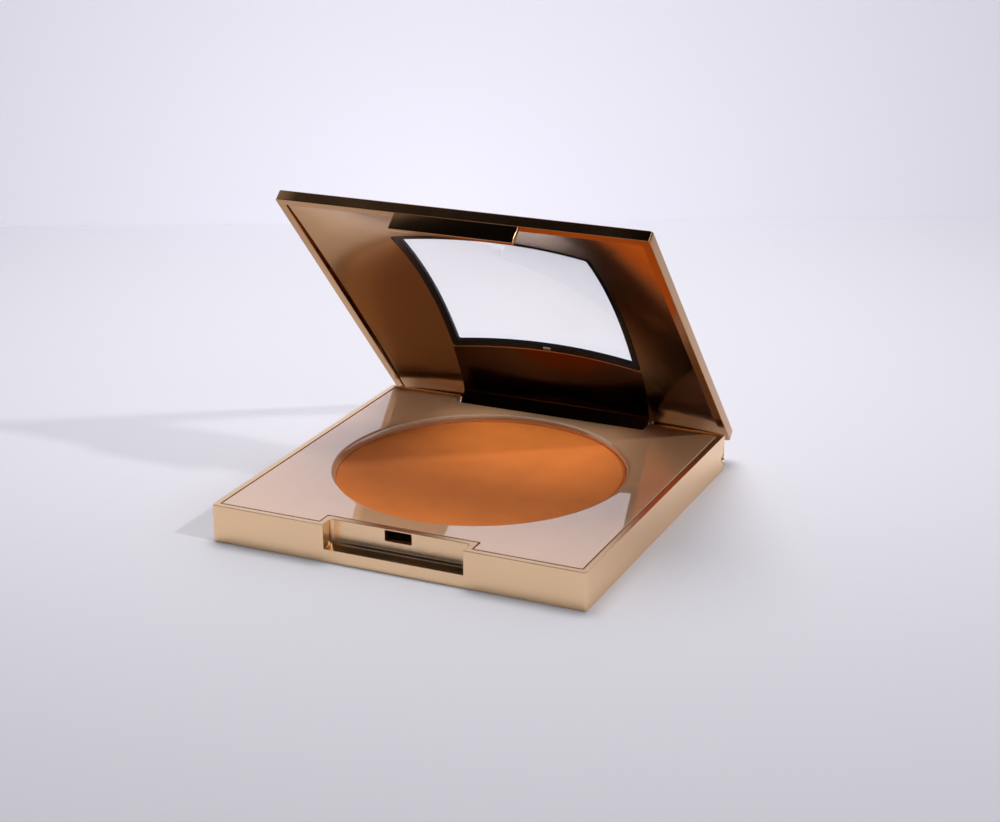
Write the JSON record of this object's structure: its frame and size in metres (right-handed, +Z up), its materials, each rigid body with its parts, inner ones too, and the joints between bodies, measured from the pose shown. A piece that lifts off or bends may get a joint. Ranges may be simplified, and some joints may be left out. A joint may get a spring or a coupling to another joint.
{
  "type": "powder compact",
  "caption": "Square hinged compact with a round pan of pressed powder, a finger notch in the front, and a domed lid with a clear square window.",
  "frame": {"origin": "centre of the base's underside, on the surface the compact stands on", "axes": "+Z up out of the base, +Y towards the hinge, +X to the right seen from the front"},
  "size_m": [0.078, 0.08, 0.0626],
  "materials": {
    "satin_gold": "satin metallised gold",
    "label_paper": "blank paper label",
    "mirror_champagne": "mirror metallised champagne",
    "tinplate": "bright tinplate",
    "pressed_powder": "matt pressed powder",
    "pad_foam": "double-sided foam",
    "pin_steel": "drawn wire",
    "gloss_bronze": "high-gloss metallised bronze",
    "clear_acrylic": "clear polished",
    "bezel_black": "gloss black"
  },
  "bodies": {
    "base": {"base_shell": "satin_gold", "base_label": "label_paper", "deck_panel": "mirror_champagne", "powder_pan": "tinplate", "powder_cake": "pressed_powder", "pan_adhesive_pad": "pad_foam", "hinge_pin_left": "pin_steel", "hinge_pin_right": "pin_steel"},
    "lid": {"lid_cover": "gloss_bronze", "lid_liner": "gloss_bronze", "window_lens": "clear_acrylic", "window_bezel": "bezel_black"}
  },
  "joints": [
    {"name": "lid_hinge", "type": "hinge", "parent": "base", "child": "lid", "pos_m": [0, 0.03595, 0.00275], "axis": [-1, 0, 0], "range_deg": [-48.4, 51.6]}
  ]
}
